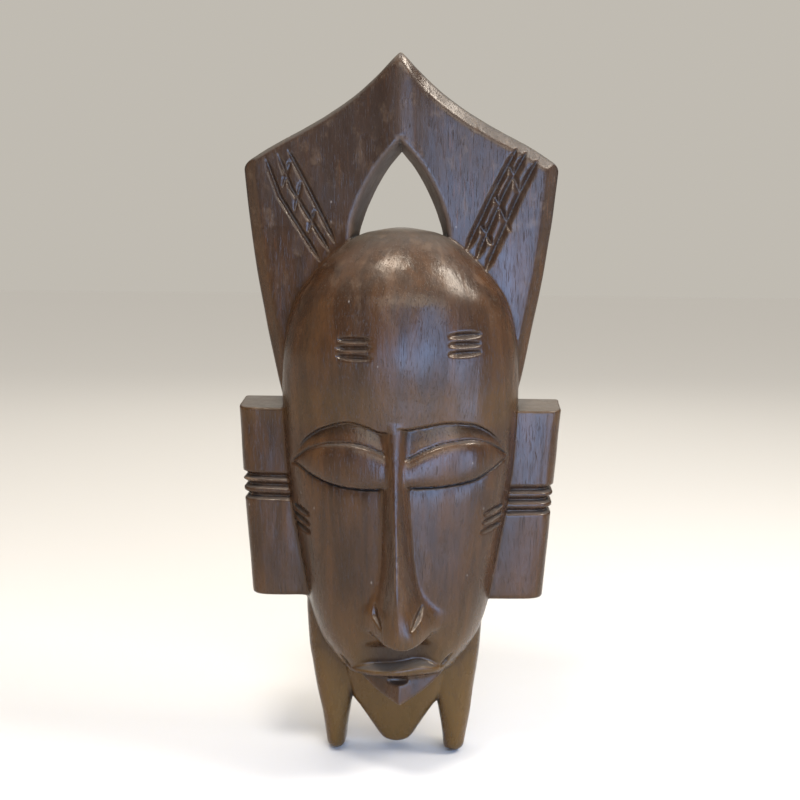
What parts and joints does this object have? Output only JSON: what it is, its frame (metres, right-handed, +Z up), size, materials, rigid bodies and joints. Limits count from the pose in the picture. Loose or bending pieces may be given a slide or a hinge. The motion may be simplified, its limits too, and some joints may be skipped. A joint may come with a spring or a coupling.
{
  "type": "carved wooden wall mask",
  "caption": "Carved hardwood wall mask: long face with closed eyes and narrow nose, pointed crest with a pierced arch, square ear flaps, prongs and beard, recessed ring hanger behind.",
  "frame": {"origin": "where the wall hook bears on the swung-up hanger ring, in the plane of the mask's flat back", "axes": "+Z up along the mask, +Y out of the back towards the wall, +X towards the right of a viewer who faces the mask"},
  "size_m": [0.175, 0.08, 0.38],
  "materials": {
    "stained_wood": "dark stain, rubbed wax, satin",
    "hanger_steel": "zinc plated, satin",
    "screw_steel": "yellow zinc plated"
  },
  "bodies": {
    "mask": {"carved_body": "stained_wood", "hanger_strap": "hanger_steel", "hanger_screw_upper": "screw_steel", "hanger_screw_lower": "screw_steel"},
    "ring": {"hanger_ring": "hanger_steel"}
  },
  "joints": [
    {"name": "ring_swing", "type": "hinge", "parent": "mask", "child": "ring", "pos_m": [0, -0.0047, -0.0128], "axis": [1, 0, 0], "range_deg": [0, 175]}
  ]
}
